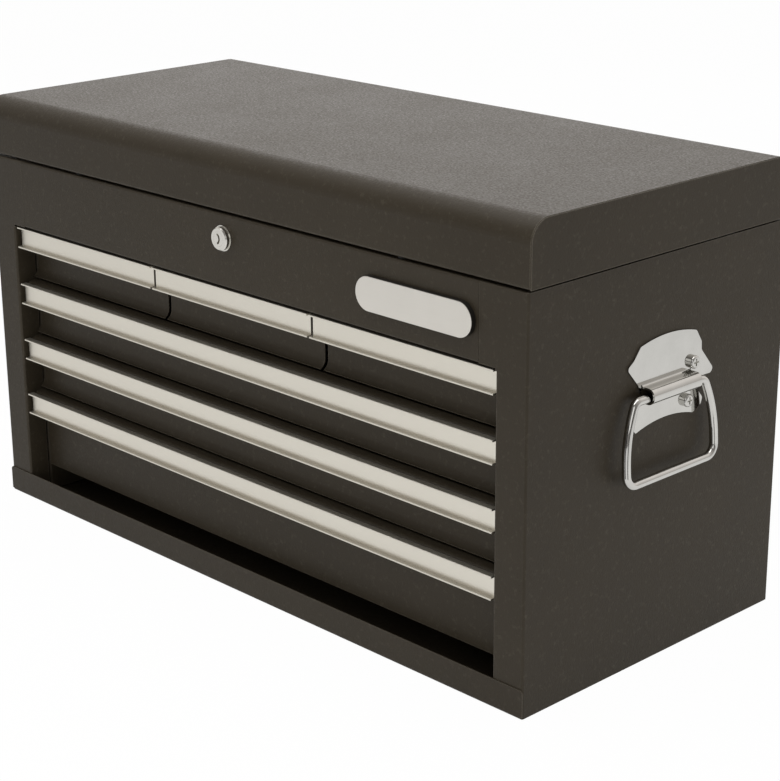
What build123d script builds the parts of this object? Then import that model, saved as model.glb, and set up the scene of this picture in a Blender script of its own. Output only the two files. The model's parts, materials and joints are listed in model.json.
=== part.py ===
from build123d import *

import os
from math import atan2, cos, degrees, hypot, radians, sin

# A steel top chest: folded case, lift-up lid over a till, six drawers, cam lock and two drop handles.
# Millimetres. X runs left to right, the drawers open towards -Y, Z is up.
# The origin is the middle of the underside.

# Case
WIDTH = 660.0  # over the side panels
DEPTH = 304.0  # post faces to the rear flanges
CASE_HEIGHT = 328.0  # floor to the rim under the lid
SHEET = 1.0  # steel of the case and lid
BEND = 1.0  # inside radius of a fold
FIT = 0.1  # between sheets that are welded or screwed together
RUNNING = 0.3  # between pieces that move past each other
POST_FACE = 30.5  # post beside the drawers
POST_RETURN = 20.0  # post edge folded back into the opening
SHOULDER_FACE = 47.0  # post beside the fascia
RELIEF = 2.0  # bend relief under the shoulder
REAR_FLANGE = 15.0
FOOT_FLANGE = 12.0
HEM = 7.0  # folded rim of the side panels
BACK_FLANGE = 27.0  # carries the hinge
RAIL_HEIGHT = 24.0  # front edge of the bottom panel
RAIL_OVERHANG = 0.8
RAIL_CORNER = 3.0
REAR_UPSTAND = 18.0
FASCIA_HEIGHT = 61.1
FASCIA_FLANGE = 14.0
FASCIA_TAB = 18.0
FASCIA_SEAM = 0.3
TILL_UPSTAND = 10.0
UPRIGHT_DEPTH = 40.0
REAR_GAP = 12.0  # behind the drawers

# Lid
LID_HEIGHT = 50.0
SEAM = 2.0  # rim to lid
LID_OVERHANG = 2.0  # past each side panel
LID_FRONT_ROUND = 18.0
LID_REAR_ROUND = 20.0
LID_FRONT_FLANGE = 16.0
END_INSET = 0.4  # end cap inside the wrapped sheet's edge
END_FLANGE = 12.0
LID_OPEN = 95.0  # degrees

# Hinge
HINGE_END_GAP = 14.0  # hinge end to the side panel's face
KNUCKLE_RADIUS = 2.4
KNUCKLE_GAP = 0.4  # knuckle to the back of the case
KNUCKLE_PITCH = 24.0
LEAF_WIDTH = 24.0
PIN_RADIUS = 1.5
PIN_FIT = 0.05

# Lid stays
STAY_SHEET = 1.5
STAY_BAND = 14.0
STAY_SPACER = 5.0  # lid end to stay
STAY_STUD = 3.0
STAY_SPACER_RADIUS = 4.0
STAY_HEAD = 5.5
STAY_HEAD_HEIGHT = 1.5
STAY_PIVOT_FROM_BACK = 42.0
STAY_PIVOT_RISE = 20.0  # over the lid's edge
STAY_GUIDE_FROM_BACK = 112.0
STAY_GUIDE_DROP = 12.0  # under the rim

# Drawers
PULL_DROP = 2.0  # fascia to the first pull
LOWEST_EXTRA = 26.3  # the lowest drawer is taller than the others by this
PULL_HEIGHT = 19.5
PULL_SETBACK = 0.8
PULL_LIP = 4.4
PULL_WALL = 1.5
PULL_ROUND = 0.5
PULL_GAP = 3.0  # pull to post
SMALL_GAP = 2.6  # between the small drawers
FRONT_SHEET = 0.9
FRONT_INSET = 0.6  # drawer front inside the end of its pull
FACE_SETBACK = 20.0
FACE_FLARE = 5.0
FACE_FLARE_HEIGHT = 8.0
NOSE_RISE = 2.6
TOP_NOSE_RISE = 1.2  # the top row slides out under the fascia's flange
NOSE_ROUND = 3.0
NOSE_BEND = 5.0  # behind the pull's top edge
LIP_GAP = 2.4  # nose to the drawer front above it
RAIL_CLEAR = 6.0  # lowest drawer over the front rail
PULL_FLANGE_SHORT = 3.0
BOX_SHEET = 0.9
BOX_CORNER = 3.0
BOX_LIFT = 1.5  # box floor over the front's lower edge
BOX_DROP = 8.0  # box rim under the pull's top
PARTITION = 1.6
PARTITION_FLANGE = 10.0

# Drawer slides
SLIDE_ZONE = 12.7  # bay wall to drawer box
SLIDE_TALL = 27.0
SLIDE_SHEET = 1.0
SLIDE_FRONT_GAP = 4.0

# Lock
LOCK_DROP = 20.0  # under the rim
LOCK_BEZEL = 9.75
LOCK_PROUD = 5.0
LOCK_RIM = 1.0  # chamfer round the front of the bezel
LOCK_FLANGE = 10.6
LOCK_FLANGE_HEIGHT = 0.8
LOCK_BARREL = 8.0
LOCK_LENGTH = 17.0
PLUG_RADIUS = 6.0
PLUG_TAIL = 3.0
KEY_SLOT_WIDTH = 1.8
KEY_SLOT_HEIGHT = 9.0
KEY_SLOT_BOW = 2.0
KEY_SLOT_DEPTH = 3.0
NUT_HEIGHT = 4.0
NUT_FLATS = 22.0
CAM_LENGTH = 20.0
CAM_WIDTH = 9.0
CAM_SHEET = 2.0
CAM_SCREW = 4.0
STRIKE_SHEET = 1.5
STRIKE_WIDTH = 12.0
STRIKE_START = 9.0
STRIKE_CLEAR = 0.8
BUFFER_RADIUS = 4.0
BUFFER_FROM_SIDE = 130.0

# Badge plate
BADGE_FROM_SIDE = 110.2  # middle of the plate to the side panel
BADGE_RISE = 30.2  # over the fascia's lower edge
BADGE_LENGTH = 120.6
BADGE_HEIGHT = 27.4
BADGE_PROUD = 4.5
BADGE_EDGE = 0.6

# Side handles
HANDLE_Y = 2.5
HANDLE_DROP = 103.7  # barrel axis under the rim
HANDLE_SHEET = 1.5
BARREL_RADIUS = 6.5  # outside
BARREL_OFFSET = 7.5  # barrel axis to the wall
BARREL_LENGTH = 57.5
BARREL_FOLD = 2.8  # radius on the wall side where the plate turns outwards
PLATE_SLIT = 1.0  # cut at each end of the barrel
PLATE_CORNER = 3.0
# Outline of the plate as (along the wall, up) from the middle of the barrel
PLATE_CROWN = [(-31.5, 37.8), (3.0, 41.8), (35.2, 36.8)]
PLATE_REAR_EDGE = [(41.9, 26.6), (42.4, 19.6), (57.9, 1.4), (54.5, -1.8)]
PLATE_FRONT_EDGE = [(-30.6, 1.0), (-33.0, 8.0), (-46.6, 23.4), (-39.2, 28.4)]
PLATE_REAR_FOOT = [(39.4, -12.3), (45.7, -19.5), (44.0, -24.7), (34.3, -29.3)]
PLATE_ARCH = (1.0, -24.1)
PLATE_FRONT_FOOT = [(-34.3, -29.3), (-39.5, -25.0), (-41.0, -19.5), (-36.0, -12.3)]
BAIL_RADIUS = 3.45
BAIL_SHIFT = -2.5  # the bail lies off the middle of its barrel
BAIL_SHOULDER = 41.2  # half length of the straight part
BAIL_SPREAD = 52.7  # half width at the hand bar
BAIL_DROP = 63.9
BAIL_BOW = 104.0  # radius of the bowed legs
BAIL_BOW_DROP = 27.0
BAIL_CORNER = 10.0
BAIL_NECK = 7.0
BAIL_END_GAP = 0.8
BAIL_LEAN = 3.7  # degrees the bail hangs away from the wall
BOLT_PLACES = [(31.0, 12.6), (24.8, -16.8)]
BOLT_RADIUS = 3.0
BOLT_HEAD = 5.2
BOLT_HEAD_HEIGHT = 4.2
BOLT_CROWN = 1.8
RECESS_LENGTH = 6.0
RECESS_WIDTH = 1.4
RECESS_DEPTH = 1.6
BOLT_NUT_FLATS = 10.0
BOLT_NUT_HEIGHT = 5.0

# Places worked out from the sizes above
FRONT = -DEPTH / 2
BACK = DEPTH / 2
SIDE = WIDTH / 2
OUTSIDE_BEND = BEND + SHEET
INNER_SIDE = SIDE - SHEET - FIT
INNER_BACK = BACK - 2 * SHEET - 2 * FIT
OPENING = SIDE - POST_FACE
FASCIA_BOTTOM = CASE_HEIGHT - FASCIA_HEIGHT
TILL_FLOOR = FASCIA_BOTTOM + SHEET + FIT
LID_BASE = CASE_HEIGHT + SEAM
LID_TOP = LID_BASE + LID_HEIGHT
LID_SIDE = SIDE + LID_OVERHANG
LID_END_FACE = LID_SIDE - SHEET
HINGE_Y = BACK + KNUCKLE_GAP + KNUCKLE_RADIUS
HINGE_Z = CASE_HEIGHT + SEAM / 2
HINGE_HALF = SIDE - HINGE_END_GAP
LEAF = (SEAM - RUNNING) / 2
FACE = FRONT + FACE_SETBACK
LOCK_Z = CASE_HEIGHT - LOCK_DROP
CAM_FRONT = FRONT + LOCK_LENGTH + 2 * RUNNING
CAM_BACK = CAM_FRONT + CAM_SHEET
HANDLE_Z = CASE_HEIGHT - HANDLE_DROP
BARREL_BORE = BARREL_RADIUS - HANDLE_SHEET
BARREL_HALF = BARREL_LENGTH / 2
BAIL_Z = HANDLE_Z - (BARREL_BORE - BAIL_RADIUS - RUNNING)

nodes = {}


def block(x0, x1, y0, y1, z0, z1):
    """Box between two opposite corners."""
    middle = Pos((x0 + x1) / 2, (y0 + y1) / 2, (z0 + z1) / 2)
    return middle * Box(x1 - x0, y1 - y0, z1 - z0)


def folded(path, thickness, side):
    """Section of a sheet that follows a path, with its thickness on one side of it."""
    return Face(Wire(path.edges()).offset_2d(thickness, Kind.ARC, side))


def run_x(section, x0, x1):
    """Section drawn as (Y, Z), run along X."""
    return extrude(Plane.YZ.offset(x0) * section, x1 - x0, dir=(1, 0, 0))


def run_y(section, y0, y1):
    """Section drawn as (X, Z), run along Y."""
    return extrude(Plane.XZ.offset(-y0) * section, y1 - y0, dir=(0, 1, 0))


def run_z(section, z0, z1):
    """Section drawn as (X, Y), run along Z."""
    return extrude(Pos(0, 0, z0) * section, z1 - z0, dir=(0, 0, 1))


def bar_x(radius, x0, x1, y, z):
    """Round bar along X."""
    return run_x(Pos(y, z) * Circle(radius), min(x0, x1), max(x0, x1))


def bar_y(radius, y0, y1, x, z):
    """Round bar along Y."""
    return run_y(Pos(x, z) * Circle(radius), y0, y1)


def left_of(shape):
    """Left-hand twin of a right-hand piece."""
    return mirror(shape, Plane.YZ)


def turned(shape):
    """The same handle piece on the left wall: half a turn about an upright line."""
    return shape.rotate(Axis((0, HANDLE_Y, 0), (0, 0, 1)), 180)


# Side panels


def bolt_places(along):
    """Y and Z of a handle's bolts: along is 1 on the right wall and -1 on the left one."""
    return [(HANDLE_Y + along * y, HANDLE_Z + z) for y, z in BOLT_PLACES]


def side_panel(along):
    """Right-hand side panel: wall, post, shoulder beside the fascia with its rim, rear and foot flanges."""
    wall = [(SIDE, FRONT), (SIDE, BACK), (SIDE - REAR_FLANGE, BACK)]
    levels = [
        (0, FASCIA_BOTTOM - RELIEF, [(OPENING, FRONT + POST_RETURN), (OPENING, FRONT)]),
        (FASCIA_BOTTOM - RELIEF, FASCIA_BOTTOM, [(OPENING, FRONT)]),
        (FASCIA_BOTTOM, CASE_HEIGHT, [(SIDE - SHOULDER_FACE, FRONT)]),
    ]
    panel = Part()
    for z0, z1, start in levels:
        path = FilletPolyline(*start, *wall, radius=OUTSIDE_BEND)
        panel += run_z(folded(path, SHEET, Side.LEFT), z0, z1)
    panel -= block(0, SIDE - SHEET, FRONT, BACK, 0, SHEET + BEND + FIT)
    foot_front = FRONT + POST_RETURN + FIT
    foot_back = BACK - REAR_FLANGE
    foot_low = SHEET + FIT
    panel += block(SIDE - FOOT_FLANGE, SIDE - SHEET, foot_front, foot_back, foot_low, foot_low + SHEET)
    hem_front = FRONT + FASCIA_FLANGE + SHEET
    hem_back = BACK - BACK_FLANGE - 2 * SHEET - FIT
    panel += block(SIDE - 2 * SHEET, SIDE - SHEET, hem_front, hem_back, CASE_HEIGHT - HEM, CASE_HEIGHT)
    rim = FilletPolyline(
        (FRONT, CASE_HEIGHT - 2 * OUTSIDE_BEND), (FRONT, CASE_HEIGHT), (FRONT + FASCIA_FLANGE, CASE_HEIGHT),
        radius=OUTSIDE_BEND,
    )
    shoulder = (SIDE - SHOULDER_FACE, SIDE - OUTSIDE_BEND)
    panel -= block(*shoulder, FRONT, FRONT + SHEET, CASE_HEIGHT - OUTSIDE_BEND, CASE_HEIGHT)
    panel += run_x(folded(rim, SHEET, Side.RIGHT), *shoulder)
    for y, z in bolt_places(along):
        panel -= bar_x(BOLT_RADIUS + FIT, SIDE - 2 * SHEET, SIDE + SHEET, y, z)
    return panel


nodes["side_panel_right"] = side_panel(1)
nodes["side_panel_left"] = left_of(side_panel(-1))


# Back, floor, fascia and till


def back_panel():
    """Back wall with a flange along its top for the hinge."""
    outer = BACK - SHEET - FIT
    path = FilletPolyline(
        (outer, SHEET + FIT), (outer, CASE_HEIGHT), (BACK - BACK_FLANGE, CASE_HEIGHT), radius=OUTSIDE_BEND
    )
    return run_x(folded(path, SHEET, Side.LEFT), -INNER_SIDE + BEND, INNER_SIDE - BEND)


def bottom_panel():
    """Floor with a rear upstand and a front rail that laps over the posts."""
    rear = INNER_BACK - SHEET
    rail_face = FRONT - SHEET
    path = FilletPolyline(
        (rear, REAR_UPSTAND), (rear, 0), (rail_face, 0), (rail_face, RAIL_HEIGHT), radius=OUTSIDE_BEND
    )
    floor = run_x(folded(path, SHEET, Side.RIGHT), -INNER_SIDE, INNER_SIDE)
    half = SIDE + RAIL_OVERHANG
    strip = Rectangle(2 * half, RAIL_HEIGHT - OUTSIDE_BEND)
    rail = run_y(Pos(0, (OUTSIDE_BEND + RAIL_HEIGHT) / 2) * strip, rail_face, FRONT)
    corners = rail.edges().filter_by(Axis.Y).group_by(Axis.Z)[-1]
    return floor + fillet(corners, RAIL_CORNER)


def front_fascia():
    """Channel-shaped front over the drawers, with tabs behind the posts and a lock hole."""
    path = FilletPolyline(
        (FRONT + FASCIA_FLANGE, FASCIA_BOTTOM),
        (FRONT, FASCIA_BOTTOM),
        (FRONT, CASE_HEIGHT),
        (FRONT + FASCIA_FLANGE, CASE_HEIGHT),
        radius=OUTSIDE_BEND,
    )
    half = SIDE - SHOULDER_FACE - FASCIA_SEAM
    fascia = run_x(folded(path, SHEET, Side.RIGHT), -half, half)
    tab_low = FASCIA_BOTTOM + 2 * OUTSIDE_BEND
    tab_high = CASE_HEIGHT - 2 * OUTSIDE_BEND
    tab_ends = (half - FASCIA_TAB, half + FASCIA_TAB / 2)
    tab = block(*tab_ends, FRONT + SHEET, FRONT + 2 * SHEET, tab_low, tab_high)
    fascia += tab
    fascia += left_of(tab)
    return fascia - bar_y(LOCK_BARREL + FIT, FRONT - SHEET, FRONT + 2 * SHEET, 0, LOCK_Z)


def till_floor():
    """Floor of the top compartment, which also ties the posts, partitions and back together."""
    front = FRONT + 2 * SHEET + FIT
    path = FilletPolyline(
        (front, TILL_FLOOR + TILL_UPSTAND),
        (front, TILL_FLOOR),
        (INNER_BACK, TILL_FLOOR),
        (INNER_BACK, TILL_FLOOR + TILL_UPSTAND),
        radius=OUTSIDE_BEND,
    )
    return run_x(folded(path, SHEET, Side.LEFT), -INNER_SIDE, INNER_SIDE)


nodes["back_panel"] = back_panel()
nodes["bottom_panel"] = bottom_panel()
nodes["front_fascia"] = front_fascia()
nodes["till_floor"] = till_floor()


# Drawer rows and bays, counted from the top

ROWS = ("top", "upper", "middle", "lower")
LAST_ROW = len(ROWS) - 1
DRAWER_ZONE = FASCIA_BOTTOM - PULL_DROP + NOSE_RISE + LIP_GAP - RAIL_HEIGHT - RAIL_CLEAR
ROW_PITCH = (DRAWER_ZONE - LOWEST_EXTRA) / len(ROWS)


def pull_top(row):
    """Height of the top edge of a row's pulls."""
    return FASCIA_BOTTOM - PULL_DROP - row * ROW_PITCH


def face_edge(row):
    """Height of the lower edge of a row's drawer fronts."""
    if row == LAST_ROW:
        return RAIL_HEIGHT + RAIL_CLEAR
    return pull_top(row + 1) + NOSE_RISE + LIP_GAP


FRONT_HALF = OPENING - PULL_GAP
SMALL_WIDTH = (2 * FRONT_HALF - 2 * SMALL_GAP) / 3
PARTITION_X = (SMALL_WIDTH + SMALL_GAP) / 2
PARTITION_FACE_IN = PARTITION_X - PARTITION / 2
PARTITION_FACE_OUT = PARTITION_X + PARTITION / 2
BOX_FRONT = FACE + FRONT_SHEET
BOX_BACK = BACK - REAR_GAP
SLIDE_FRONT = BOX_FRONT + SLIDE_FRONT_GAP

# Each drawer: name, row, left and right edge of its front, left and right wall of its bay
DRAWERS = [
    ("top_left", 0, -FRONT_HALF, SMALL_WIDTH - FRONT_HALF, -OPENING, -PARTITION_FACE_OUT),
    ("top_middle", 0, -SMALL_WIDTH / 2, SMALL_WIDTH / 2, -PARTITION_FACE_IN, PARTITION_FACE_IN),
    ("top_right", 0, FRONT_HALF - SMALL_WIDTH, FRONT_HALF, PARTITION_FACE_OUT, OPENING),
]
for row in range(1, len(ROWS)):
    DRAWERS.append((ROWS[row], row, -FRONT_HALF, FRONT_HALF, -OPENING, OPENING))


# Partitions and uprights that carry the slides


def partition():
    """Right partition between two small drawers, hung from the till floor."""
    top = TILL_FLOOR - FIT
    path = FilletPolyline(
        (PARTITION_FACE_IN + PARTITION_FLANGE, top),
        (PARTITION_FACE_IN, top),
        (PARTITION_FACE_IN, face_edge(0) + BOX_LIFT),
        radius=BEND + PARTITION,
    )
    return run_y(folded(path, PARTITION, Side.LEFT), SLIDE_FRONT, INNER_BACK - SHEET - FIT)


def upright(y0):
    """Right channel from floor to till, level with the post's return."""
    path = FilletPolyline(
        (INNER_SIDE, y0), (OPENING, y0), (OPENING, y0 + UPRIGHT_DEPTH), (INNER_SIDE, y0 + UPRIGHT_DEPTH),
        radius=OUTSIDE_BEND,
    )
    return run_z(folded(path, SHEET, Side.RIGHT), 2 * (SHEET + FIT), TILL_FLOOR - FIT)


nodes["partition_right"] = partition()
nodes["partition_left"] = left_of(nodes["partition_right"])
front_upright = upright(FRONT + POST_RETURN + OUTSIDE_BEND)
rear_upright = upright(BOX_BACK - UPRIGHT_DEPTH)
nodes["uprights_right"] = Compound([front_upright, rear_upright])
nodes["uprights_left"] = Compound([left_of(front_upright), left_of(rear_upright)])


# Drawers


def drawer_front(row, x0, x1):
    """Folded front: flared lower lip, flat face, nose over the pull and a flange behind it."""
    top = pull_top(row)
    low = face_edge(row)
    flange = FRONT + PULL_SETBACK + PULL_LIP + PULL_WALL + FRONT_SHEET
    rise = NOSE_RISE if row else TOP_NOSE_RISE
    crest = (FACE, top + rise - FRONT_SHEET)
    nose = (flange, top - FRONT_SHEET)
    foot = (flange, top - PULL_HEIGHT + PULL_FLANGE_SHORT)
    bends = [NOSE_ROUND, NOSE_BEND]
    if row == LAST_ROW:
        path = FilletPolyline((FACE, low), crest, nose, foot, radius=bends)
    else:
        flare_radius = (FACE_FLARE**2 + FACE_FLARE_HEIGHT**2) / (2 * FACE_FLARE)
        sweep = degrees(atan2(FACE_FLARE_HEIGHT, flare_radius - FACE_FLARE))
        flare_end = (FACE, low + FACE_FLARE_HEIGHT)
        flare = CenterArc((FACE - flare_radius, low + FACE_FLARE_HEIGHT), flare_radius, -sweep, sweep)
        path = flare + FilletPolyline(flare_end, crest, nose, foot, radius=bends)
    return run_x(folded(path, FRONT_SHEET, Side.RIGHT), x0, x1)


def drawer_pull(row, x0, x1):
    """Extruded channel, open to the front, with a lip along its top and bottom."""
    top = pull_top(row)
    lip = FRONT + PULL_SETBACK
    web = lip + PULL_LIP
    back = web + PULL_WALL
    path = Polyline((lip, top), (back, top), (back, top - PULL_HEIGHT), (lip, top - PULL_HEIGHT))
    channel = run_x(folded(path, PULL_WALL, Side.RIGHT), x0, x1)
    lip_edges = channel.edges().filter_by(Axis.X).group_by(Axis.Y)[0]
    return fillet(lip_edges, PULL_ROUND)


def drawer_box(row, x0, x1):
    """Open tray behind the front."""
    low = face_edge(row) + BOX_LIFT
    high = pull_top(row) - BOX_DROP
    solid = block(x0, x1, BOX_FRONT, BOX_BACK, low, high)
    solid = fillet(solid.edges().filter_by(Axis.Z), BOX_CORNER)
    rim = solid.faces().sort_by(Axis.Z)[-1]
    return offset(solid, -BOX_SHEET, openings=rim)


def slide_section(wall, towards, z, tall):
    """Channel section that stands on a wall at X and opens towards -1 or +1."""
    reach = wall + towards * (SLIDE_ZONE - SLIDE_SHEET - RUNNING)
    path = FilletPolyline(
        (reach, z + tall / 2), (wall, z + tall / 2), (wall, z - tall / 2), (reach, z - tall / 2),
        radius=BEND + SLIDE_SHEET,
    )
    side = Side.RIGHT if towards < 0 else Side.LEFT
    return folded(path, SLIDE_SHEET, side)


def slide_height(row):
    """Middle of a row's slides."""
    return (face_edge(row) + BOX_LIFT + pull_top(row) - BOX_DROP) / 2


def fixed_slides(row, bay0, bay1):
    """Pair of case-side channels."""
    z = slide_height(row)
    sections = [slide_section(bay0, 1, z, SLIDE_TALL), slide_section(bay1, -1, z, SLIDE_TALL)]
    return [run_y(section, SLIDE_FRONT, BOX_BACK) for section in sections]


def moving_slides(row, bay0, bay1):
    """Pair of drawer-side channels that run inside the fixed ones."""
    z = slide_height(row)
    tall = SLIDE_TALL - 2 * SLIDE_SHEET - 2 * RUNNING
    sections = [slide_section(bay0 + SLIDE_ZONE, -1, z, tall), slide_section(bay1 - SLIDE_ZONE, 1, z, tall)]
    return [run_y(section, SLIDE_FRONT, BOX_BACK - BOX_CORNER) for section in sections]


fixed_by_row = {}
for name, row, x0, x1, bay0, bay1 in DRAWERS:
    nodes["front_" + name] = drawer_front(row, x0 + FRONT_INSET, x1 - FRONT_INSET)
    nodes["pull_" + name] = drawer_pull(row, x0, x1)
    nodes["box_" + name] = drawer_box(row, bay0 + SLIDE_ZONE, bay1 - SLIDE_ZONE)
    nodes["drawer_slides_" + name] = Compound(moving_slides(row, bay0, bay1))
    fixed_by_row.setdefault(row, []).extend(fixed_slides(row, bay0, bay1))

for row, label in enumerate(ROWS):
    nodes["case_slides_" + label] = Compound(fixed_by_row[row])


# Lid


def lid_shell():
    """One sheet wrapped over the front, top and back, with flanges turned in along its lower edges.

    The rear flange stops at the hinge's ends, which leaves room for the stays.
    """
    path = FilletPolyline(
        (FRONT + LID_FRONT_FLANGE, LID_BASE),
        (FRONT, LID_BASE),
        (FRONT, LID_TOP),
        (BACK, LID_TOP),
        (BACK, LID_BASE),
        (BACK - BACK_FLANGE, LID_BASE),
        radius=[OUTSIDE_BEND, LID_FRONT_ROUND, LID_REAR_ROUND, OUTSIDE_BEND],
    )
    shell = run_x(folded(path, SHEET, Side.RIGHT), -LID_END_FACE, LID_END_FACE)
    notch_front = BACK - 2 * BACK_FLANGE
    notch_back = BACK - OUTSIDE_BEND
    notch = block(HINGE_HALF, LID_SIDE, notch_front, notch_back, LID_BASE - SHEET, LID_BASE + OUTSIDE_BEND)
    return shell - notch - left_of(notch)


def lid_end():
    """Right end cap: a plate just inside the wrapped sheet's edge, with a flange inside the wrap."""
    inset_front = FRONT + END_INSET
    inset_back = BACK - END_INSET
    outline = FilletPolyline(
        (inset_front, LID_BASE),
        (inset_front, LID_TOP - END_INSET),
        (inset_back, LID_TOP - END_INSET),
        (inset_back, LID_BASE),
        radius=[LID_FRONT_ROUND - END_INSET, LID_REAR_ROUND - END_INSET],
    )
    base = Line((inset_back, LID_BASE), (inset_front, LID_BASE))
    plate = run_x(make_face(outline.edges() + base.edges()), LID_END_FACE, LID_SIDE)
    lap = SHEET + FIT
    flange_low = LID_BASE + OUTSIDE_BEND + SHEET
    path = FilletPolyline(
        (FRONT + lap, flange_low),
        (FRONT + lap, LID_TOP - lap),
        (BACK - lap, LID_TOP - lap),
        (BACK - lap, flange_low),
        radius=[LID_FRONT_ROUND - lap, LID_REAR_ROUND - lap],
    )
    return plate + run_x(folded(path, SHEET, Side.RIGHT), LID_END_FACE - END_FLANGE, LID_END_FACE)


nodes["lid_shell"] = lid_shell()
nodes["lid_end_right"] = lid_end()
nodes["lid_end_left"] = left_of(nodes["lid_end_right"])


# Piano hinge


def knuckle_spans(first):
    """X ranges of every second knuckle, starting with the first or the second."""
    count = int(2 * HINGE_HALF / KNUCKLE_PITCH)
    pitch = 2 * HINGE_HALF / count
    return [(-HINGE_HALF + i * pitch, -HINGE_HALF + (i + 1) * pitch) for i in range(first, count, 2)]


def hinge_leaf(z0, own, others):
    """Flat leaf with knuckles of its own, cut back round the other leaf's knuckles."""
    leaf = block(-HINGE_HALF, HINGE_HALF, BACK - LEAF_WIDTH, HINGE_Y, z0, z0 + LEAF)
    for x0, x1 in others:
        leaf -= bar_x(KNUCKLE_RADIUS + RUNNING, x0 - RUNNING / 2, x1 + RUNNING / 2, HINGE_Y, HINGE_Z)
    for x0, x1 in own:
        leaf += bar_x(KNUCKLE_RADIUS, x0 + RUNNING / 2, x1 - RUNNING / 2, HINGE_Y, HINGE_Z)
    return leaf - bar_x(PIN_RADIUS + PIN_FIT, -HINGE_HALF, HINGE_HALF, HINGE_Y, HINGE_Z)


lower_spans = knuckle_spans(0)
upper_spans = knuckle_spans(1)
nodes["hinge_leaf_lower"] = hinge_leaf(CASE_HEIGHT, lower_spans, upper_spans)
nodes["hinge_leaf_upper"] = hinge_leaf(LID_BASE - LEAF, upper_spans, lower_spans)
nodes["hinge_pin"] = bar_x(PIN_RADIUS, -HINGE_HALF, HINGE_HALF, HINGE_Y, HINGE_Z)


# Lid stays
# Each stay hangs from a stud in the lid and keeps its own direction while the lid turns.
# A guide pin on the side panel then draws an arc in it, as wide as the stud's own arc round the hinge.

PIVOT = (BACK - STAY_PIVOT_FROM_BACK, LID_BASE + STAY_PIVOT_RISE)
GUIDE = (BACK - STAY_GUIDE_FROM_BACK, CASE_HEIGHT - STAY_GUIDE_DROP)
ARM = (PIVOT[0] - HINGE_Y, PIVOT[1] - HINGE_Z)
SLOT_RADIUS = hypot(*ARM)
SLOT_CENTRE = (GUIDE[0] + ARM[0], GUIDE[1] + ARM[1])
SLOT_START = degrees(atan2(-ARM[1], -ARM[0]))
STAY_OUTER = LID_END_FACE - STAY_SPACER
STAY_INNER = STAY_OUTER - STAY_SHEET


def lid_stay():
    """Right stay: a plate from the lid stud to the arc slot."""
    slot = CenterArc(SLOT_CENTRE, SLOT_RADIUS, SLOT_START, -LID_OPEN)
    middle = radians(SLOT_START - LID_OPEN / 2)
    low_point = (SLOT_CENTRE[0] + SLOT_RADIUS * cos(middle), SLOT_CENTRE[1] + SLOT_RADIUS * sin(middle))
    eyes = Sketch() + [Pos(*place) * Circle(STAY_BAND / 2) for place in (PIVOT, GUIDE, low_point)]
    plate = make_hull(eyes.edges()) + SlotArc(slot, STAY_BAND)
    plate -= SlotArc(slot, 2 * (STAY_STUD + RUNNING))
    plate -= Pos(*PIVOT) * Circle(STAY_STUD + PIN_FIT)
    return run_x(plate, STAY_INNER, STAY_OUTER)


def stay_stud(place, root):
    """Shouldered stud through the stay, standing on the wall at X = root."""
    shoulder = STAY_OUTER + RUNNING
    under_head = STAY_INNER - RUNNING
    stud = bar_x(STAY_SPACER_RADIUS, shoulder, root, *place)
    stud += bar_x(STAY_STUD, under_head, shoulder, *place)
    return stud + bar_x(STAY_HEAD, under_head - STAY_HEAD_HEIGHT, under_head, *place)


nodes["lid_stay_right"] = lid_stay()
nodes["lid_stay_left"] = left_of(nodes["lid_stay_right"])
pivot_stud = stay_stud(PIVOT, LID_END_FACE)
guide_stud = stay_stud(GUIDE, SIDE - SHEET)
nodes["stay_pivot_studs"] = Compound([pivot_stud, left_of(pivot_stud)])
nodes["stay_guide_pins"] = Compound([guide_stud, left_of(guide_stud)])


# Lock


def lock_housing():
    """Bezel, flange and barrel, turned as one piece and bored for the plug."""
    face = FRONT - LOCK_PROUD
    back = FRONT + LOCK_LENGTH
    bezel = bar_y(LOCK_BEZEL, face, FRONT, 0, LOCK_Z)
    rim = bezel.edges().filter_by(GeomType.CIRCLE).group_by(Axis.Y)[0]
    housing = chamfer(rim, LOCK_RIM) + bar_y(LOCK_FLANGE, FRONT - LOCK_FLANGE_HEIGHT, FRONT, 0, LOCK_Z)
    housing += bar_y(LOCK_BARREL, FRONT, back, 0, LOCK_Z)
    return housing - bar_y(PLUG_RADIUS + PIN_FIT, face, back, 0, LOCK_Z)


def lock_plug():
    """Keyed plug with a tail for the cam."""
    face = FRONT - LOCK_PROUD
    plug = bar_y(PLUG_RADIUS, face, CAM_FRONT, 0, LOCK_Z)
    plug += bar_y(PLUG_TAIL, CAM_FRONT, CAM_BACK, 0, LOCK_Z)
    reach = (KEY_SLOT_HEIGHT - KEY_SLOT_WIDTH) / 2
    bow = KEY_SLOT_BOW / 2
    curve = ThreePointArc((-bow, -reach), (bow, 0), (-bow, reach))
    slot = SlotArc(curve, KEY_SLOT_WIDTH)
    return plug - run_y(Pos(0, LOCK_Z) * slot, face, face + KEY_SLOT_DEPTH)


def lock_cam():
    """Flat cam, upright when unlocked."""
    reach = CAM_LENGTH - CAM_WIDTH / 2
    arm = Pos(0, reach / 2) * SlotCenterToCenter(reach, CAM_WIDTH, rotation=90)
    return run_y(Pos(0, LOCK_Z) * (arm - Circle(PLUG_TAIL + FIT)), CAM_FRONT, CAM_BACK)


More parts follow.
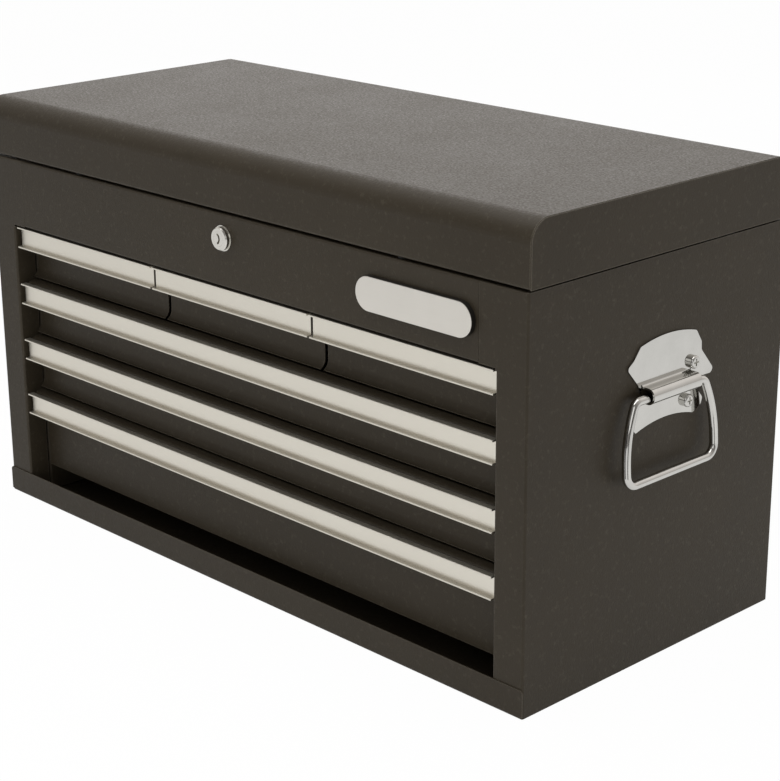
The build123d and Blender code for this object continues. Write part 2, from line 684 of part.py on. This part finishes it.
def lid_strike():
    """Folded hook on the lid: it hangs behind the fascia and turns forward under the locked cam."""
    tongue = CAM_BACK + 2 * STRIKE_CLEAR
    foot_top = LOCK_Z - CAM_WIDTH / 2 - STRIKE_CLEAR
    path = FilletPolyline(
        (FRONT + 2 * OUTSIDE_BEND, LID_BASE + SHEET),
        (tongue, LID_BASE + SHEET),
        (tongue, foot_top - STRIKE_SHEET),
        (CAM_FRONT - 2 * STRIKE_CLEAR, foot_top - STRIKE_SHEET),
        radius=[BEND, BEND + STRIKE_SHEET],
    )
    return run_x(folded(path, STRIKE_SHEET, Side.LEFT), STRIKE_START, STRIKE_START + STRIKE_WIDTH)


nodes["lock_housing"] = lock_housing()
nut = RegularPolygon(NUT_FLATS / 2, 6, major_radius=False) - Circle(LOCK_BARREL + FIT)
nut_front = FRONT + SHEET
nodes["lock_nut"] = run_y(Pos(0, LOCK_Z) * nut, nut_front, nut_front + NUT_HEIGHT)
nodes["lock_plug"] = lock_plug()
cam_screw = bar_y(CAM_SCREW, CAM_BACK, CAM_BACK + STRIKE_CLEAR, 0, LOCK_Z)
nodes["lock_cam"] = Compound([lock_cam(), cam_screw])
nodes["lid_strike"] = lid_strike()
buffer_spot = Pos(SIDE - BUFFER_FROM_SIDE, FRONT + FASCIA_FLANGE / 2)
buffer = run_z(buffer_spot * Circle(BUFFER_RADIUS), CASE_HEIGHT, LID_BASE - RUNNING)
nodes["lid_buffers"] = Compound([buffer, left_of(buffer)])


# Badge plate, left bare


def badge_plate():
    """Flat pill-shaped plate with a rounded edge."""
    centre = Pos(SIDE - BADGE_FROM_SIDE, FASCIA_BOTTOM + BADGE_RISE)
    plate = run_y(centre * SlotOverall(BADGE_LENGTH, BADGE_HEIGHT), FRONT - BADGE_PROUD, FRONT)
    face = plate.faces().sort_by(Axis.Y)[0]
    return fillet(face.edges(), BADGE_EDGE)


nodes["badge_plate"] = badge_plate()


# Side handles


def plate_flats():
    """The plate's two flats on the wall, over and under the barrel, as faces round its middle."""
    fold = BARREL_BORE + BARREL_FOLD
    crown = ThreePointArc(*PLATE_CROWN)
    brow = Polyline(PLATE_CROWN[-1], *PLATE_REAR_EDGE, *PLATE_FRONT_EDGE, PLATE_CROWN[0])
    upper = make_face(crown.edges() + brow.edges())
    upper = fillet(upper.vertices(), PLATE_CORNER)
    upper -= Pos(0, fold / 2) * Rectangle(2 * (BARREL_HALF + PLATE_SLIT), fold)
    arch = ThreePointArc(PLATE_REAR_FOOT[-1], PLATE_ARCH, PLATE_FRONT_FOOT[0])
    tail = Polyline(*PLATE_FRONT_FOOT, (-BARREL_HALF, -fold), (BARREL_HALF, -fold), *PLATE_REAR_FOOT)
    lower = make_face(arch.edges() + tail.edges())
    corners = lower.vertices().filter_by_position(Axis.Y, PLATE_REAR_FOOT[-1][1], PLATE_REAR_FOOT[0][1])
    return [upper, fillet(corners, PLATE_CORNER)]


def handle_plate():
    """Right plate: one sheet, flat on the wall and pushed out in the middle into a barrel."""
    fold = BARREL_BORE + BARREL_FOLD
    flat = 2 * HANDLE_SHEET
    leave = FilletPolyline(
        (0, fold + flat), (0, BARREL_BORE), (BARREL_OFFSET, BARREL_BORE), radius=BARREL_FOLD
    )
    barrel = CenterArc((BARREL_OFFSET, 0), BARREL_BORE, 90, -180)
    land = FilletPolyline(
        (BARREL_OFFSET, -BARREL_BORE), (0, -BARREL_BORE), (0, -fold - flat), radius=BARREL_FOLD
    )
    section = folded(leave + barrel + land, HANDLE_SHEET, Side.LEFT)
    plate = run_y(Pos(SIDE, HANDLE_Z) * section, HANDLE_Y - BARREL_HALF, HANDLE_Y + BARREL_HALF)
    for outline in plate_flats():
        plate += run_x(Pos(HANDLE_Y, HANDLE_Z) * outline, SIDE, SIDE + HANDLE_SHEET)
    for y, z in bolt_places(1):
        plate -= bar_x(BOLT_RADIUS + FIT, SIDE, SIDE + HANDLE_SHEET, y, z)
    return plate


def handle_bail():
    """Right bail: one bent wire that hangs in the barrel, its ends meeting inside."""
    rear = [
        (BAIL_END_GAP / 2, 0),
        (BAIL_SHOULDER, 0),
        (BAIL_SPREAD, -BAIL_BOW_DROP),
        (BAIL_SPREAD, -BAIL_DROP),
    ]
    front = [(-along, up) for along, up in reversed(rear)]
    bends = [BAIL_NECK, BAIL_BOW, BAIL_CORNER]
    path = FilletPolyline(*rear, *front, radius=bends + bends[::-1])
    lean = radians(BAIL_LEAN)
    axis = (SIDE + BARREL_OFFSET, HANDLE_Y + BAIL_SHIFT, BAIL_Z)
    route = Plane(axis, x_dir=(0, 1, 0), z_dir=(cos(lean), 0, sin(lean))) * path
    start = Plane(route @ 0, z_dir=route % 0)
    return sweep(start * Circle(BAIL_RADIUS), path=route)


def handle_bolt(y, z):
    """Pan head with a cross recess, and its shank through plate and side panel."""
    seat = SIDE + HANDLE_SHEET
    face = seat + BOLT_HEAD_HEIGHT
    head = bar_x(BOLT_HEAD, seat, face, y, z)
    crown = head.edges().filter_by(GeomType.CIRCLE).group_by(Axis.X)[-1]
    head = fillet(crown, BOLT_CROWN)
    cross = Rectangle(RECESS_LENGTH, RECESS_WIDTH) + Rectangle(RECESS_WIDTH, RECESS_LENGTH)
    head -= run_x(Pos(y, z) * cross, face - RECESS_DEPTH, face)
    return head + bar_x(BOLT_RADIUS, SIDE - SHEET - BOLT_NUT_HEIGHT, seat, y, z)


def bolt_nut(y, z):
    """Nut behind the side panel."""
    ring = RegularPolygon(BOLT_NUT_FLATS / 2, 6, major_radius=False) - Circle(BOLT_RADIUS + FIT)
    return run_x(Pos(y, z) * ring, SIDE - SHEET - BOLT_NUT_HEIGHT, SIDE - SHEET)


nodes["handle_plate_right"] = handle_plate()
nodes["handle_plate_left"] = turned(nodes["handle_plate_right"])
nodes["handle_bail_right"] = handle_bail()
nodes["handle_bail_left"] = turned(nodes["handle_bail_right"])
fasteners = [piece(*place) for piece in (handle_bolt, bolt_nut) for place in bolt_places(1)]
nodes["handle_bolts"] = Compound(fasteners + [turned(piece) for piece in fasteners])


os.makedirs("parts", exist_ok=True)
for name, shape in nodes.items():
    export_step(shape, "parts/" + name + ".step")
print(len(nodes), "nodes")
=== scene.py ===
# %% [markdown]
# # A steel tool chest, dressed
#
# The solids of the chest already have their real sizes and places. This lesson gives them their finishes, a
# fine-textured dark paint, satin pulls and bright handles, and builds a white studio round them. The chest
# itself gains no shape. Everything is in metres, with the drawers opening towards -Y.

import json
import math

import bpy
from mathutils import Matrix, Vector

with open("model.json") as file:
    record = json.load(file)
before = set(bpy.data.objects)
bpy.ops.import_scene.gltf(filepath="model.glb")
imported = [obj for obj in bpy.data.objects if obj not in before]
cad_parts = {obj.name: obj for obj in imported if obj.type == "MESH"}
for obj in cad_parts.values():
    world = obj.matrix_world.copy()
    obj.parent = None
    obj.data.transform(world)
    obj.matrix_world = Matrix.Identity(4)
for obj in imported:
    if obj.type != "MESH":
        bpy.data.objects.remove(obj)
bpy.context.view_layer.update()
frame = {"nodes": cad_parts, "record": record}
nodes = frame["nodes"]
MM = 0.001

# %% [markdown]
# ## Where the camera stands
#
# The photograph shows the front, the right side and the lid. Three sets of parallel edges give the
# direction of view, and the width of the chest gives the distance. A long lens keeps the edges nearly
# parallel, as a product photographer would. Turning about Z, then tilting, then rolling is easier to read
# than one mixed rotation.

# %% Camera
CAMERA_PLACE = (1.2226, -1.1460, 0.7099)
CAMERA_TURN = 46.04
CAMERA_TILT = 18.72
CAMERA_ROLL = -0.39
CAMERA_LENS = 92.8

camera = bpy.data.objects.new("camera", bpy.data.cameras.new("camera"))
bpy.context.scene.collection.objects.link(camera)
turn = Matrix.Rotation(math.radians(CAMERA_TURN), 4, "Z")
tilt = Matrix.Rotation(math.radians(90 - CAMERA_TILT), 4, "X")
roll = Matrix.Rotation(math.radians(CAMERA_ROLL), 4, "Z")
camera.matrix_world = Matrix.Translation(CAMERA_PLACE) @ turn @ tilt @ roll
camera.data.lens = CAMERA_LENS
bpy.context.scene.camera = camera
print("camera", CAMERA_LENS, "mm at", CAMERA_PLACE)

# %% [markdown]
# ## Writing shaders as sums
#
# A finish is a small network of nodes. It can be drawn by hand in the shader editor, but in a script
# `1 - mask` reads better than a Math node and its links. `Wire` wraps one output socket, and each operator
# adds the Math node that it stands for. The reflected forms, such as `__rsub__`, serve when a number comes
# first.

# %% Wire


class Wire:
    """An output socket that can stand in a sum."""

    def __init__(self, finish, socket):
        self.finish = finish
        self.socket = socket

    def math(self, operation, first, second):
        """Adds a Math node for two values, of which at least one is a wire."""
        return self.finish.node("ShaderNodeMath", {"operation": operation}, {0: first, 1: second})

    def __add__(self, other):
        return self.math("ADD", self, other)

    def __radd__(self, other):
        return self.math("ADD", other, self)

    def __sub__(self, other):
        return self.math("SUBTRACT", self, other)

    def __rsub__(self, other):
        return self.math("SUBTRACT", other, self)

    def __mul__(self, other):
        return self.math("MULTIPLY", self, other)

    def __rmul__(self, other):
        return self.math("MULTIPLY", other, self)


print("a wire can be added, subtracted and multiplied")

# %% [markdown]
# ## One way to add a node
#
# Materials and the world keep their nodes in the same kind of tree, so one class serves both. `Finish.node`
# adds any node in the same way: its settings come first, because they can change which sockets are in use,
# and then its inputs, each a plain value or a wire. Ramps, blends and dot products turn up again and again,
# so they have short forms.

# %% Finish
MIX_FIRST, MIX_SECOND, MIX_RESULT = 6, 7, 2  # the Mix node's sockets for colours


class Finish:
    """The nodes of a material, or of another owner, with one way to add to them."""

    def __init__(self, name, owner=None):
        self.owner = owner or bpy.data.materials.new(name)
        self.owner.use_nodes = True
        self.tree = self.owner.node_tree
        self.tree.nodes.clear()

    def node(self, kind, settings=None, inputs=None, output=0):
        """Adds a node, sets it, feeds it, and gives back one of its outputs."""
        made = self.tree.nodes.new(kind)
        for name, value in (settings or {}).items():
            if name == "stops":
                self.fill_ramp(made.color_ramp, value)
            else:
                setattr(made, name, value)
        for key, value in (inputs or {}).items():
            if isinstance(value, Wire):
                self.tree.links.new(value.socket, made.inputs[key])
            else:
                made.inputs[key].default_value = value
        return Wire(self, made.outputs[output]) if len(made.outputs) else made

    def fill_ramp(self, ramp, stops):
        """Gives a colour ramp its stops: place and grey level."""
        while len(ramp.elements) < len(stops):
            ramp.elements.new(1)
        for element, (place, level) in zip(ramp.elements, stops):
            element.position = place
            element.color = (level, level, level, 1)

    def ramp(self, value, stops):
        """Grey level that follows a value."""
        return self.node("ShaderNodeValToRGB", {"stops": stops}, {0: value})

    def mix(self, share, first, second):
        """Blend of two colours."""
        inputs = {"Factor": share, MIX_FIRST: first, MIX_SECOND: second}
        return self.node("ShaderNodeMix", {"data_type": "RGBA"}, inputs, output=MIX_RESULT)

    def dot(self, first, second):
        """How far two directions agree, from -1 to 1."""
        settings = {"operation": "DOT_PRODUCT"}
        return self.node("ShaderNodeVectorMath", settings, {0: first, 1: second}, output="Value")


print("a finish can hold ramps, blends and dot products")

# %% [markdown]
# ## A white floor
#
# A product like this is photographed on a seamless white sheet. A matt floor alone would come out grey, and
# more light would bleach the chest. So Light Path tells the kinds of ray apart: the camera and the mirrors
# see the floor nearly white, with a trace of shadow, and light bounces off it as off a matt sheet.

# %% Floor
FLOOR_SIZE = 12.0
FLOOR_TONE = (0.86, 0.85, 0.83, 1)
FLOOR_SHOWN = 0.98
FLOOR_MIRRORED = 0.75
WHITE = (1, 1, 1, 1)

bpy.ops.mesh.primitive_plane_add(size=FLOOR_SIZE, location=(0, 0, 0))
floor = bpy.context.object
floor.name = "floor"


def ray(finish, kind):
    """1 for rays of one kind, such as those from the camera, else 0."""
    return finish.node("ShaderNodeLightPath", output="Is %s Ray" % kind)


def floor_finish():
    """Matt pale sheet that the camera and the mirrors see nearly white, with a trace of shadow."""
    sheet = Finish("floor_sheet")
    matt = sheet.node("ShaderNodeBsdfDiffuse", {}, {"Color": FLOOR_TONE})
    white = sheet.node("ShaderNodeEmission", {}, {"Color": WHITE, "Strength": 1.0})
    share = ray(sheet, "Camera") * FLOOR_SHOWN + ray(sheet, "Glossy") * FLOOR_MIRRORED
    blend = sheet.node("ShaderNodeMixShader", {}, {0: share, 1: matt, 2: white})
    sheet.node("ShaderNodeOutputMaterial", {}, {"Surface": blend})
    return sheet.owner


floor.data.materials.append(floor_finish())
print("floor", FLOOR_SIZE, "m wide")

# %% [markdown]
# ## A room for the mirrors
#
# Chrome is only as good as what it reflects, and an even white room would make it look like grey plastic. A
# panorama of a studio would do, but a gradient is enough: mirrors see a room that is bright overhead and
# behind the chest, and dim on the photographer's side. The camera sees plain white instead, and the paint is
# lit by a weaker, even light, so that it stays dark.

# %% World
WARM = (1, 0.955, 0.92, 1)
AMBIENT = 0.45
BRIGHT_SIDE = (-0.45, 0.80, 0.40)
DIM_LEVEL = 0.25
ROOM_STOPS = [(0.35, DIM_LEVEL), (0.68, 0.65), (0.85, 1.0)]


def room_in_mirrors(sky):
    """1 overhead and behind the chest, falling to a dim level on the photographer's side."""
    direction = sky.node("ShaderNodeTexCoord", output="Generated")
    facing = sky.dot(direction, BRIGHT_SIDE)
    return sky.ramp(facing * 0.5 + 0.5, ROOM_STOPS)  # a ramp reads 0 to 1, not -1 to 1


world = bpy.data.worlds.new("studio")
bpy.context.scene.world = world
sky = Finish("studio", world)
seen = ray(sky, "Camera") + ray(sky, "Transmission")
mirrored = ray(sky, "Glossy")
strength = (1 - seen - mirrored) * AMBIENT + seen + mirrored * room_in_mirrors(sky)
tint = sky.mix(seen, WARM, WHITE)
glow = sky.node("ShaderNodeBackground", {}, {"Color": tint, "Strength": strength})
sky.node("ShaderNodeOutputWorld", {}, {"Surface": glow})
bpy.context.scene.view_settings.view_transform = "Standard"
print("ambient light", AMBIENT, "and a room down to", DIM_LEVEL)

# %% [markdown]
# ## Soft lamps
#
# The key lamp stands beside the camera. Folded corners face it, so they come out a little lighter than the
# panels, and a folded sheet reads as one. A wide lamp overhead evens out the lid, and a low one behind the
# chest grazes it, which turns the dark paint grey and picks out its grain. Two small lamps near the floor
# stand in for the light that a white sheet throws back up. Mirrors don't see those two, because a real sheet
# would show no bright squares.

# %% Lamps
AIM = Vector((0, 0, 0.18))
LAMPS = {
    "key": {"place": (1.9, -1.7, 1.2), "size": 1.3, "watts": 5},
    "overhead": {"place": (0.0, -0.2, 1.8), "size": 1.6, "watts": 20},
    "sheen": {"place": (-1.5, 1.5, 1.1), "size": 1.6, "watts": 4.5},
    "front_bounce": {"place": (0.1, -0.85, 0.05), "size": 0.5, "watts": 1.7, "mirrored": False},
    "side_bounce": {"place": (1.0, 0.25, 0.05), "size": 0.5, "watts": 1.8, "mirrored": False},
}


def soft_lamp(name, place, size, watts, mirrored=True):
    """Square area lamp that points at the chest."""
    lamp = bpy.data.objects.new(name, bpy.data.lights.new(name, "AREA"))
    lamp.visible_glossy = mirrored
    lamp.data.size = size
    lamp.data.energy = watts
    lamp.location = place
    lamp.rotation_euler = (AIM - Vector(place)).to_track_quat("-Z", "Y").to_euler()
    bpy.context.scene.collection.objects.link(lamp)


for name, lamp in LAMPS.items():
    soft_lamp(name, **lamp)
print("lamps:", ", ".join(LAMPS))

# %% [markdown]
# ## Dark cards for the chrome
#
# Bright wire looks like white plastic until something dark runs along it. Photographers stand dark cards just
# out of the picture for that. These two stand before and beside the right handle, and only mirrors see them:
# the camera, the shadows and the light between surfaces pass through.

# %% Dark cards


def rgb(red, green, blue):
    """A colour as the screen shows it, 0 to 255, turned into the linear values a shader needs."""
    levels = [v / 255 for v in (red, green, blue)]
    linear = [v / 12.92 if v <= 0.04045 else ((v + 0.055) / 1.055) ** 2.4 for v in levels]
    return (*linear, 1.0)


CARDS = {
    "black_card": {
        "place": (0.395, -0.36, 0.15), "turn": 9, "size": (0.11, 0.30), "tone": rgb(30, 30, 30),
    },
    "grey_card": {
        "place": (0.68, -0.15, 0.15), "turn": 74, "size": (0.12, 0.30), "tone": rgb(110, 110, 110),
    },
}


def dark_card(name, place, turn, size, tone):
    """An upright card that shows in mirrors only."""
    upright = (math.pi / 2, 0, math.radians(turn))
    bpy.ops.mesh.primitive_plane_add(size=1, location=place, rotation=upright)
    card = bpy.context.object
    card.name = name
    card.scale = (*size, 1)
    card.visible_camera = False
    card.visible_diffuse = False
    card.visible_shadow = False
    board = Finish(name)
    felt = board.node("ShaderNodeBsdfDiffuse", {}, {"Color": tone})
    board.node("ShaderNodeOutputMaterial", {}, {"Surface": felt})
    card.data.materials.append(board.owner)


for name, card in CARDS.items():
    dark_card(name, **card)
print("cards:", ", ".join(CARDS))

# %% [markdown]
# ## Patterns on a surface
#
# Every finish of the chest starts from noise in space, as fine as paint grain or as broad as a smear. UV maps
# could carry it, but then every folded sheet would need seams and unwrapping. Object coordinates need
# neither, and they are in metres, so a pattern of 500 steps has cells of 2 mm on every piece.

# %% Coat


class Coat(Finish):
    """A finish for pieces of the chest: patterns, relief and a surface that shows them."""

    def place(self, stretch=(1, 1, 1), shift=(0, 0, 0)):
        """Points of the surface in metres, stretched to suit a pattern."""
        points = self.node("ShaderNodeTexCoord", output="Object")
        return self.node("ShaderNodeMapping", {}, {"Vector": points, "Scale": stretch, "Location": shift})

    def noise(self, place, scale, detail=2.0, rough=0.5):
        """Cloudy pattern from 0 to 1."""
        inputs = {"Vector": place, "Scale": scale, "Detail": detail, "Roughness": rough}
        return self.node("ShaderNodeTexNoise", {}, inputs)

    def relief(self, height, strength, depth):
        """Fine bumps, as a normal for the surface."""
        return self.node("ShaderNodeBump", {}, {"Height": height, "Strength": strength, "Distance": depth})

    def surface(self, **inputs):
        """Ends the network in a Principled surface. Underscores in names stand for spaces."""
        named = {key.replace("_", " "): value for key, value in inputs.items()}
        shader = self.node("ShaderNodeBsdfPrincipled", {}, named)
        self.node("ShaderNodeOutputMaterial", {}, {"Surface": shader})
        return self.owner


def average(first, second):
    """Half of one pattern and half of another."""
    return first * 0.5 + second * 0.5


def swing(pattern, amount):
    """A pattern moved to lie about 0, so that it varies a value without shifting it."""
    return (pattern - 0.5) * amount


print("a coat can hold noise and relief")

# %% [markdown]
# ## Rubbed edges and painted highlights
#
# Paint is thinnest where a sheet is cut or folded sharply, and that is where it rubs. The paler colour
# along the edges is partly that wear and partly a painted highlight, as a lit fold would show. The edges
# could be picked out by hand and given a second material. A Bevel node finds them by itself: it bends the
# normal near an edge, and where that differs from the true normal, the mask is bright.

# %% Edge mask
EDGE = 1.2 * MM
EDGE_SAMPLES = 2
EDGE_STOPS = [(0.0, 1), (0.97, 0.25), (0.999, 0)]


def edge_mask(coat):
    """1 along sharp edges, fading to 0 on flat sheet."""
    bent = coat.node("ShaderNodeBevel", {"samples": EDGE_SAMPLES}, {"Radius": EDGE})
    true = coat.node("ShaderNodeNewGeometry", output="Normal")
    return coat.ramp(coat.dot(bent, true), EDGE_STOPS)


print("edges rub over", EDGE / MM, "mm")

# %% [markdown]
# ## Textured paint
#
# Tool chests are powder coated: the dry powder melts into a tough skin with a fine pebbled grain. Seen
# straight on it is nearly black, and at a low angle the lid turns grey because each grain catches the white
# room. So the base colour stays dark, and the grain goes into the relief and the roughness. A soft mottle and
# sparse pale flecks keep the wide panels from looking like plastic.

# %% Paint
PAINT_DARK = rgb(43, 38, 29)
PAINT_LIGHT = rgb(60, 54, 44)
# paler colour along edges: partly rubbed paint, partly a painted highlight
PAINT_WORN_AND_LIT = rgb(128, 122, 111)
GRAIN = 560.0
GRAIN_STRENGTH = 0.5
GRAIN_DEPTH = 0.3 * MM
MOTTLE = 14.0
FLECKS = 210.0
FLECK_STOPS = [(0.56, 0), (0.74, 0.1)]
# how far the edges are lightened, by wear and by a painted highlight
WEAR_AND_HIGHLIGHT_LEAST = 0.3
WEAR_AND_HIGHLIGHT_PATCHES = 0.6
PAINT_ROUGH = 0.43
GRAIN_ROUGH = 0.65
MOTTLE_ROUGH = 0.1
PAINT_SPECULAR = 0.16


def paint(name, shift, wear_and_highlight):
    """Powder coat with its own stretch of grain, paler along its edges with wear and a painted highlight."""
    coat = Coat(name)
    place = coat.place(shift=shift)
    grain = coat.noise(place, GRAIN, detail=2.0, rough=0.65)
    mottle = coat.noise(place, MOTTLE, detail=3.0, rough=0.6)
    dust = coat.noise(place, FLECKS, detail=3.0, rough=0.7)
    flecks = coat.ramp(dust, FLECK_STOPS)
    # paler edges are partly rubbed paint and partly a painted highlight; the flecks are pale dust
    worn_lit_and_flecked = edge_mask(coat) * (mottle * WEAR_AND_HIGHLIGHT_PATCHES + WEAR_AND_HIGHLIGHT_LEAST) * wear_and_highlight + flecks
    tone = coat.mix(average(mottle, grain), PAINT_DARK, PAINT_LIGHT)
    return coat.surface(
        Base_Color=coat.mix(worn_lit_and_flecked, tone, PAINT_WORN_AND_LIT),
        Roughness=PAINT_ROUGH + swing(grain, GRAIN_ROUGH) + swing(mottle, MOTTLE_ROUGH),
        Specular_IOR_Level=PAINT_SPECULAR,
        Normal=coat.relief(grain, GRAIN_STRENGTH, GRAIN_DEPTH),
    )


case_paint = paint("case_paint", shift=(0, 0, 0), wear_and_highlight=0.8)
lid_paint = paint("lid_paint", shift=(3.1, 0.7, 0.2), wear_and_highlight=1.3)
fascia_paint = paint("fascia_paint", shift=(0.9, 0.4, 1.7), wear_and_highlight=0.0)
drawer_paint = paint("drawer_paint", shift=(1.3, 2.9, 0.6), wear_and_highlight=0.6)
print("paint with", GRAIN, "grains in a metre")

# %% [markdown]
# ## Which piece gets which paint
#
# The record of the part gives every piece a material slot, so pieces can be picked by slot and not one by
# one. The lid is handled most, so its edges are rubbed most and carry the strongest painted highlight. The
# fascia lies flush between two shoulders, where nothing rubs its ends, and its edges get no paler colour.

# %% Painted pieces
LID_SHEETS = ["lid_shell", "lid_end_right", "lid_end_left"]
FASCIA = "front_fascia"
slot_of = {part["node"]: part["material_slot"] for part in frame["record"]["subparts"]}


def nodes_in(slot):
    """CAD nodes that the record gives to a material slot."""
    return [name for name in nodes if slot_of[name] == slot]


def dress(material, *names):
    """Puts a material on CAD nodes."""
    for name in names:
        nodes[name].data.materials.clear()
        nodes[name].data.materials.append(material)
    print(material.name, "on", len(names), "nodes")


dress(case_paint, *[name for name in nodes_in("case_paint") if name not in LID_SHEETS + [FASCIA]])
dress(lid_paint, *LID_SHEETS)
dress(fascia_paint, FASCIA)
dress(drawer_paint, *nodes_in("drawer_paint"))

# %% [markdown]
# ## Satin pulls
#
# The pulls are aluminium, pushed through a die, so fine lines run along their whole length, and then
# anodised to a soft grey. Anisotropic shading could hint at the lines, but noise stretched along X draws
# them. They change the roughness more than the colour, because the anodised skin evens the colour out.

# %% Pulls
PULL_LIGHT = rgb(226, 222, 211)
PULL_SHADE = rgb(213, 209, 198)
PULL_LINES = (7, 1500, 1500)
PULL_CLOUD = 20.0
PULL_METAL = 0.92
PULL_ROUGH = 0.36


def drawn_lines(coat, steps):
    """Fine lines, given as steps in a metre along X, Y and Z."""
    return coat.noise(coat.place(stretch=steps), scale=1.0, detail=3.0, rough=0.65)


def satin(name):
    """Anodised aluminium with the lines of its die."""
    metal = Coat(name)
    lines = drawn_lines(metal, PULL_LINES)
    cloud = metal.noise(metal.place(), PULL_CLOUD, detail=3.0)
    return metal.surface(
        Base_Color=metal.mix(average(lines, cloud), PULL_SHADE, PULL_LIGHT),
        Metallic=PULL_METAL,
        Roughness=PULL_ROUGH + swing(lines, amount=0.18) + swing(cloud, amount=0.08),
        Normal=metal.relief(lines, strength=0.12, depth=0.05 * MM),
    )


dress(satin("pull_aluminium"), *nodes_in("pull_aluminium"))

# %% [markdown]
# ## The bare badge plate
#
# The plate on the fascia has a pale satin face and dark edges. The edges could have a material of their own,
# but one material can do both: a face that looks straight out of the front is pale metal, and whatever turns
# away from that is dark, partly as the plate's own dark sides and partly as painted shade round the face.

# %% Badge
BADGE_LIGHT = rgb(220, 217, 210)
BADGE_SHADE = rgb(208, 205, 198)
BADGE_EDGE_AND_SHADE = rgb(30, 28, 25)
BADGE_LINES = (60, 2200, 2200)
BADGE_CLOUD = 30.0
BADGE_METAL = 0.8
BADGE_ROUGH = 0.36
OUT_OF_FRONT = (0, -1, 0)
FACE_STOPS = [(0.6, 0), (0.85, 1)]


def badge_plate(name):
    """Pale satin on the face, dark round the edge: partly its own dark sides, partly painted shade."""
    plate = Coat(name)
    normal = plate.node("ShaderNodeNewGeometry", output="Normal")
    face = plate.ramp(plate.dot(normal, OUT_OF_FRONT), FACE_STOPS)
    lines = drawn_lines(plate, BADGE_LINES)
    cloud = plate.noise(plate.place(), BADGE_CLOUD, detail=3.0)
    pale = plate.mix(average(lines, cloud), BADGE_SHADE, BADGE_LIGHT)
    return plate.surface(
        # dark edges: partly the plate's own dark sides, partly painted shade round the face
        Base_Color=plate.mix(face, BADGE_EDGE_AND_SHADE, pale),
        Metallic=face * BADGE_METAL,
        Roughness=BADGE_ROUGH + swing(lines, amount=0.15),
        Normal=plate.relief(lines, strength=0.1, depth=0.05 * MM),
    )


dress(badge_plate("badge_metal"), *nodes_in("badge_metal"))

# %% [markdown]
# ## Chrome and nickel
#
# Chrome on the handles is almost a mirror, and the lock has a softer nickel. A perfect mirror would be one
# number for the roughness, but it looks drawn and not plated. So faint smears change the roughness, and a
# little relief gives the waves of the stamped sheet under the plating.

# %% Chrome and nickel
SMEARS = 55.0
WAVES = 130.0
WAVE_DEPTH = 0.4 * MM


def plated(name, light, shade, rough, wave):
    """Bright plating with soft smears and the waves of the sheet under it."""
    metal = Coat(name)
    place = metal.place()
    smear = metal.noise(place, SMEARS, detail=4.0, rough=0.6)
    ripple = metal.noise(place, WAVES, detail=1.0)
    return metal.surface(
        Base_Color=metal.mix(smear, shade, light),
        Metallic=1.0,
        Roughness=rough + swing(smear, rough),
        Normal=metal.relief(ripple, wave, WAVE_DEPTH),
    )


chrome = plated("handle_chrome", rgb(207, 206, 202), rgb(190, 189, 185), rough=0.08, wave=0.02)
nickel = plated("lock_nickel", rgb(222, 220, 214), rgb(200, 198, 192), rough=0.2, wave=0.04)
dress(chrome, *nodes_in("handle_chrome"))
dress(nickel, *nodes_in("lock_nickel"))

# %% [markdown]
# ## Zinc
#
# Slides, hinge and stays are zinc plated: dull and slightly blue, with crystals a few millimetres wide.
# Noise has no straight borders, so a Voronoi texture makes the crystals, each with a tone of its own.

# %% Zinc
ZINC_LIGHT = rgb(188, 189, 190)
ZINC_SHADE = rgb(150, 151, 153)
ZINC_CRYSTALS = 320.0
ZINC_CLOUD = 40.0
ZINC_ROUGH = 0.34


def zinc(name):
    """Dull zinc with crystals a few millimetres wide."""
    metal = Coat(name)
    place = metal.place()
    inputs = {"Vector": place, "Scale": ZINC_CRYSTALS}
    crystal = metal.node("ShaderNodeTexVoronoi", {}, inputs, output="Color")
    spangle = metal.node("ShaderNodeSeparateColor", {}, {0: crystal})
    cloud = metal.noise(place, ZINC_CLOUD, detail=3.0)
    return metal.surface(
        Base_Color=metal.mix(average(spangle, cloud), ZINC_SHADE, ZINC_LIGHT),
        Metallic=1.0,
        Roughness=ZINC_ROUGH + swing(spangle, amount=0.12),
        Normal=metal.relief(cloud, strength=0.1, depth=0.1 * MM),
    )


dress(zinc("zinc_steel"), *nodes_in("zinc_steel"))

# %% [markdown]
# ## Rubber
#
# The lid comes down on two rubber buffers. Plain black would do for something so small, but a fine grain
# keeps it from looking wet when the lid is open and the light falls on it.

# %% Rubber
RUBBER_LIGHT = rgb(38, 38, 37)
RUBBER_SHADE = rgb(24, 24, 24)
RUBBER_GRAIN = 1200.0
RUBBER_ROUGH = 0.75


def rubber(name):
    """Matt black rubber."""
    gum = Coat(name)
    grain = gum.noise(gum.place(), RUBBER_GRAIN, detail=2.0)
    return gum.surface(
        Base_Color=gum.mix(grain, RUBBER_SHADE, RUBBER_LIGHT),
        Roughness=RUBBER_ROUGH + swing(grain, amount=0.2),
        Normal=gum.relief(grain, strength=0.3, depth=0.1 * MM),
    )


dress(rubber("buffer_rubber"), *nodes_in("buffer_rubber"))
